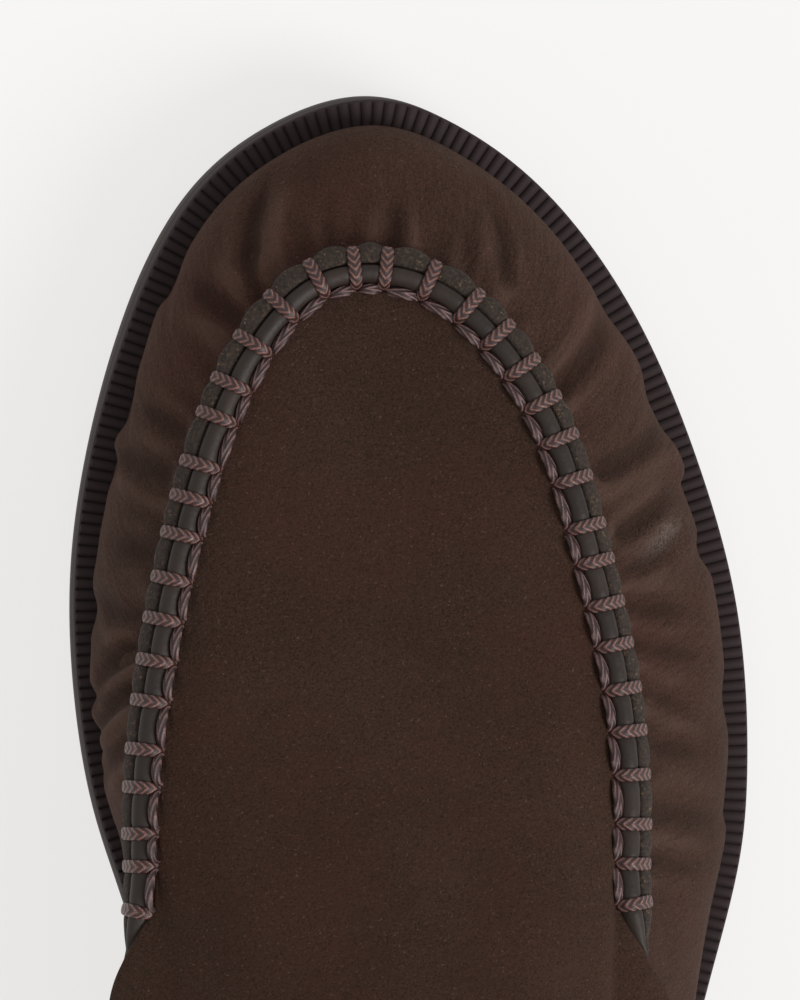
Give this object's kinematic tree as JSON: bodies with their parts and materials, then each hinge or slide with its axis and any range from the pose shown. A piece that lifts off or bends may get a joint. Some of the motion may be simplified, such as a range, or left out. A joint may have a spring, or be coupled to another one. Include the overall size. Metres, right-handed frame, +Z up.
{
  "type": "loafer",
  "caption": "Right moccasin loafer in dark brown nubuck with a raised hand-sewn seam, a ribbed storm welt and a low heel.",
  "frame": {"origin": "on the floor under the middle of the heel, 30 mm ahead of the sole's back", "axes": "+Z up; -Y towards the toe; +X towards the inner (medial) side of this right shoe"},
  "size_m": [0.1036, 0.275, 0.0826],
  "materials": {
    "nubuck": "matt, napped, with soft burnished folds",
    "binding_leather": "smooth, satin",
    "insole_leather": "smooth, satin",
    "sewing_cord": "waxed, plaited",
    "welt_rubber": "semi-gloss, ribbed",
    "sole_rubber": "smooth, semi-gloss",
    "top_piece_rubber": "matt"
  },
  "bodies": {
    "root": {"outsole": "sole_rubber", "heel_block": "sole_rubber", "heel_top_piece": "top_piece_rubber", "welt": "welt_rubber", "insole": "insole_leather", "upper": "nubuck", "back_strip": "nubuck", "topline_binding": "binding_leather"}
  },
  "joints": []
}
